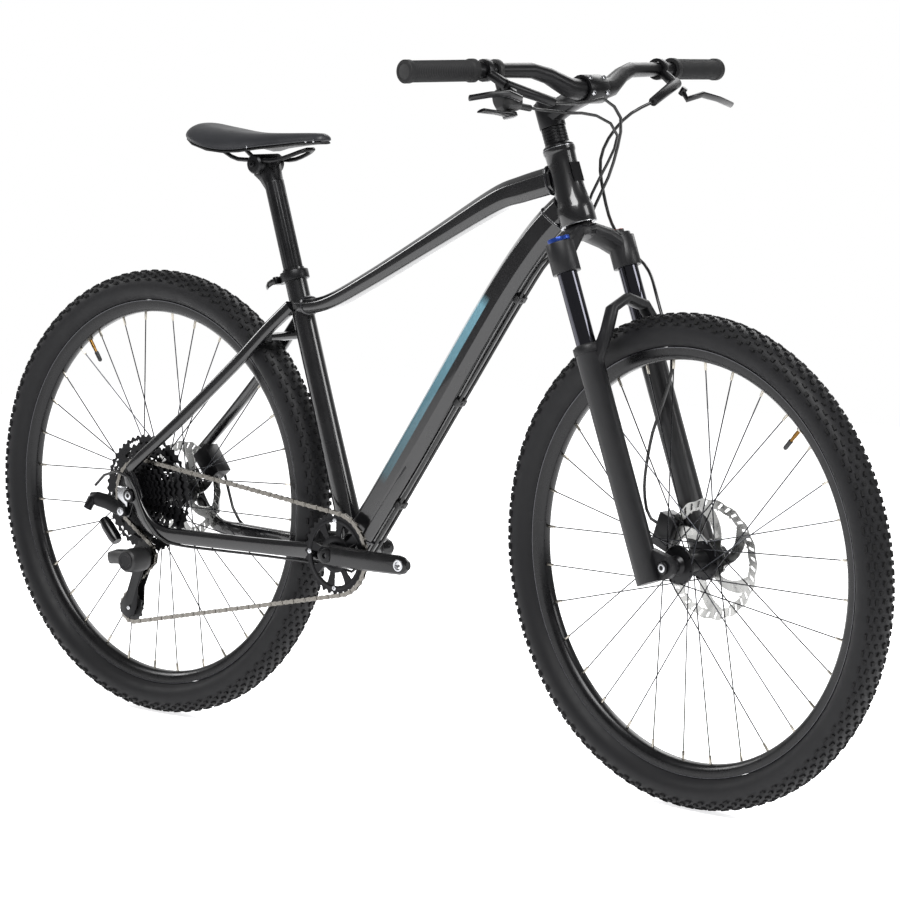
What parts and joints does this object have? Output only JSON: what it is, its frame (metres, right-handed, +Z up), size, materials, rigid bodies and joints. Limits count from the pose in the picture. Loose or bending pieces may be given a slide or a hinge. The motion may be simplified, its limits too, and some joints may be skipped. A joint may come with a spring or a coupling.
{
  "type": "mountain bike",
  "caption": "Hardtail mountain bike with a suspension fork, disc brakes, knobbly tyres, a rear derailleur and flat riser bars, without pedals.",
  "frame": {"origin": "middle of the bike's footprint, on the ground under both tyres", "axes": "+X forward the way it rides, +Y to its left, +Z up"},
  "size_m": [1.8316, 0.7298, 1.0916],
  "materials": {
    "frame_paint": "gloss black",
    "satin_black": "satin black anodised",
    "matte_black": "matte black",
    "fork_black": "matte black",
    "stanchion_chrome": "dark polished chrome",
    "grip_rubber": "soft ribbed rubber",
    "tyre_rubber": "black tread, charcoal sidewall",
    "rim_black": "gloss black",
    "bare_steel": "brushed",
    "spoke_steel": "dark drawn wire",
    "chain_steel": "plain steel",
    "cog_black": "black coated",
    "dial_blue": "blue anodised",
    "saddle_skin": "dark grey satin cover",
    "hose_black": "black"
  },
  "bodies": {
    "frame": {"head_tube": "frame_paint", "top_tube": "frame_paint", "down_tube": "frame_paint", "seat_tube": "frame_paint", "bottom_bracket": "frame_paint", "chainstay_right": "frame_paint", "chainstay_left": "frame_paint", "seatstay_right": "frame_paint", "seatstay_left": "frame_paint", "seat_clamp": "satin_black", "rear_caliper": "satin_black", "rear_axle": "satin_black", "rear_brake_hose": "hose_black", "shift_cable": "hose_black", "chain": "chain_steel"},
    "clamp_lever": {"seat_clamp_lever": "satin_black"},
    "seat_post": {"seat_post": "satin_black"},
    "saddle": {"saddle": "saddle_skin", "saddle_rails": "satin_black", "rail_clamp": "satin_black"},
    "steering": {"fork_crown": "fork_black", "stanchion_right": "stanchion_chrome", "stanchion_left": "stanchion_chrome", "headset_spacers": "satin_black", "stem": "satin_black", "handlebar": "matte_black", "grip_right": "grip_rubber", "grip_left": "grip_rubber", "brake_lever_right": "satin_black", "brake_lever_left": "satin_black", "shifter_body": "satin_black", "front_brake_hose": "hose_black"},
    "lockout_dial": {"lockout_dial": "dial_blue"},
    "brake_blade_right": {"brake_blade_right": "satin_black"},
    "brake_blade_left": {"brake_blade_left": "satin_black"},
    "shifter_paddle": {"shifter_paddle": "satin_black"},
    "fork_lowers": {"fork_lowers": "fork_black", "front_caliper": "satin_black", "front_axle": "satin_black"},
    "front_wheel": {"front_hub": "satin_black", "front_spokes": "spoke_steel", "front_rim": "rim_black", "front_tyre": "tyre_rubber", "front_rotor": "bare_steel"},
    "rear_wheel": {"rear_hub": "satin_black", "rear_spokes": "spoke_steel", "rear_rim": "rim_black", "rear_tyre": "tyre_rubber", "rear_rotor": "bare_steel"},
    "cassette": {"cassette": "cog_black"},
    "cranks": {"crank_right": "satin_black", "crank_left": "satin_black", "chainring": "cog_black"},
    "derailleur_body": {"derailleur_body": "cog_black"},
    "derailleur_link": {"derailleur_link": "cog_black"},
    "derailleur_clutch": {"derailleur_clutch": "cog_black"},
    "derailleur_cage": {"derailleur_cage": "cog_black"},
    "guide_pulley": {"guide_pulley": "matte_black"},
    "tension_pulley": {"tension_pulley": "matte_black"}
  },
  "joints": [
    {"name": "steering", "type": "hinge", "parent": "frame", "child": "steering", "pos_m": [0.32242, 0, 0.84633], "axis": [-0.3502, 0, 0.9367], "range_deg": [-60, 60], "deforming": ["rear_brake_hose", "shift_cable", "front_brake_hose"]},
    {"name": "fork_slide", "type": "slide", "parent": "steering", "child": "fork_lowers", "axis": [-0.3502, 0, 0.9367], "range_m": [0, 0.1], "stiffness_N_per_m": 6000, "springref_m": -0.02, "deforming": ["front_brake_hose"]},
    {"name": "front_wheel_spin", "type": "hinge", "parent": "fork_lowers", "child": "front_wheel", "pos_m": [0.55096, -0.00393, 0.36594], "axis": [0.08, 0.9963, 0.0299], "continuous": true},
    {"name": "rear_wheel_spin", "type": "hinge", "parent": "frame", "child": "rear_wheel", "pos_m": [-0.54978, 0, 0.366], "axis": [0, 1, 0], "continuous": true},
    {"name": "crank_spin", "type": "hinge", "parent": "frame", "child": "cranks", "pos_m": [-0.11778, 0, 0.312], "axis": [0, 1, 0], "continuous": true},
    {"name": "cassette_spin", "type": "hinge", "parent": "frame", "child": "cassette", "pos_m": [-0.54978, 0, 0.366], "axis": [0, 1, 0], "continuous": true},
    {"name": "derailleur_pivot", "type": "hinge", "parent": "frame", "child": "derailleur_body", "pos_m": [-0.55978, -0.08, 0.34], "axis": [0, 1, 0], "range_deg": [-4, 8], "stiffness_Nm_per_rad": 8, "deforming": ["chain", "shift_cable"]},
    {"name": "link_swing", "type": "hinge", "parent": "derailleur_body", "child": "derailleur_link", "pos_m": [-0.60678, -0.085, 0.33], "axis": [0.636, 0.484, 0.601], "range_deg": [-12, 2], "deforming": ["chain"]},
    {"name": "clutch_swing", "type": "hinge", "parent": "derailleur_link", "child": "derailleur_clutch", "pos_m": [-0.55478, -0.085, 0.275], "axis": [0.636, 0.484, 0.601], "range_deg": [-2, 12], "deforming": ["chain"]},
    {"name": "cage_swing", "type": "hinge", "parent": "derailleur_clutch", "child": "derailleur_cage", "pos_m": [-0.53328, 0, 0.262], "axis": [0, 1, 0], "range_deg": [-30, 25], "stiffness_Nm_per_rad": 2, "deforming": ["chain"]},
    {"name": "guide_pulley_spin", "type": "hinge", "parent": "derailleur_cage", "child": "guide_pulley", "pos_m": [-0.54378, -0.0475, 0.267], "axis": [0, 1, 0], "continuous": true},
    {"name": "tension_pulley_spin", "type": "hinge", "parent": "derailleur_cage", "child": "tension_pulley", "pos_m": [-0.56978, -0.0475, 0.177], "axis": [0, 1, 0], "continuous": true},
    {"name": "seat_post_slide", "type": "slide", "parent": "frame", "child": "seat_post", "axis": [-0.3074, 0, 0.9516], "range_m": [-0.12, 0.06]},
    {"name": "saddle_tilt", "type": "hinge", "parent": "seat_post", "child": "saddle", "pos_m": [-0.32121, 0, 0.91254], "axis": [0, 1, 0], "range_deg": [-10, 10]},
    {"name": "clamp_lever", "type": "hinge", "parent": "frame", "child": "clamp_lever", "pos_m": [-0.28292, -0.0138, 0.72893], "axis": [-0.3074, 0, 0.9516], "range_deg": [0, 130]},
    {"name": "lockout_turn", "type": "hinge", "parent": "steering", "child": "lockout_dial", "pos_m": [0.33905, -0.06587, 0.82297], "axis": [-0.3502, 0, 0.9367], "range_deg": [-90, 0]},
    {"name": "right_brake", "type": "hinge", "parent": "steering", "child": "brake_blade_right", "pos_m": [0.36118, -0.205, 1.04391], "axis": [-0.5985, 0, -0.8011], "range_deg": [0, 17], "stiffness_Nm_per_rad": 0.3, "springref_deg": -17.19},
    {"name": "left_brake", "type": "hinge", "parent": "steering", "child": "brake_blade_left", "pos_m": [0.3617, 0.194, 1.04251], "axis": [0.5985, 0, 0.8011], "range_deg": [0, 17], "stiffness_Nm_per_rad": 0.3, "springref_deg": -17.19},
    {"name": "shift_paddle", "type": "hinge", "parent": "steering", "child": "shifter_paddle", "pos_m": [0.3399, -0.183, 1.01087], "axis": [-0.3502, 0, 0.9367], "range_deg": [0, 20], "stiffness_Nm_per_rad": 0.15, "springref_deg": -11.46}
  ],
  "couplings": [
    {"joint": "cassette_spin", "follows": "crank_spin", "ratio": 1.1429},
    {"joint": "tension_pulley_spin", "follows": "crank_spin", "ratio": 2.6667},
    {"joint": "guide_pulley_spin", "follows": "crank_spin", "ratio": -2.6667},
    {"joint": "clutch_swing", "follows": "link_swing", "ratio": -1}
  ]
}
